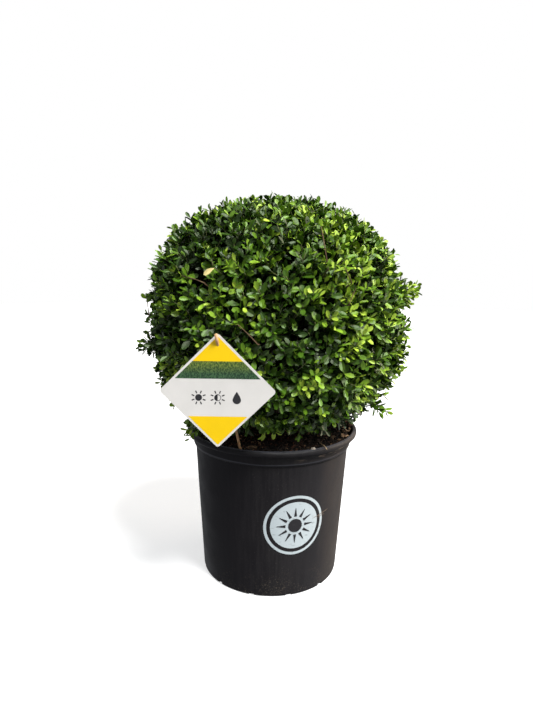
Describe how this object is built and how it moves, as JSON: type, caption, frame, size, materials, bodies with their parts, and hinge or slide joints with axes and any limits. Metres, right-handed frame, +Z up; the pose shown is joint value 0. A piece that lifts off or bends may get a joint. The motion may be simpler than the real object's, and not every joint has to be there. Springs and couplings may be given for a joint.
{
  "type": "potted japanese holly",
  "caption": "Clipped evergreen ball of small leaves on a short trunk with boughs, in a round tapered nursery pot of compost, with a diamond plant label on a cane splint.",
  "frame": {"origin": "centre of the pot's flat underside", "axes": "+Z up along the pot's axis, -Y the front, where the label hangs, +X to the right of someone who faces the front"},
  "size_m": [0.4518, 0.4155, 0.6159],
  "materials": {
    "pot_plastic": "thin black moulded plastic, dull sheen, dusty at the foot",
    "compost": "moist dark compost with bark",
    "bark": "rough grey-brown bark",
    "leaves": "small glossy evergreen leaves",
    "label_card": "printed plastic card",
    "splint_cane": "bare split cane"
  },
  "bodies": {
    "root": {"pot": "pot_plastic", "soil": "compost", "trunk": "bark", "bough_1": "bark", "bough_2": "bark", "bough_3": "bark", "bough_4": "bark", "bough_5": "bark", "bough_6": "bark", "foliage": "leaves", "label": "label_card", "label_splint": "splint_cane"}
  },
  "joints": []
}
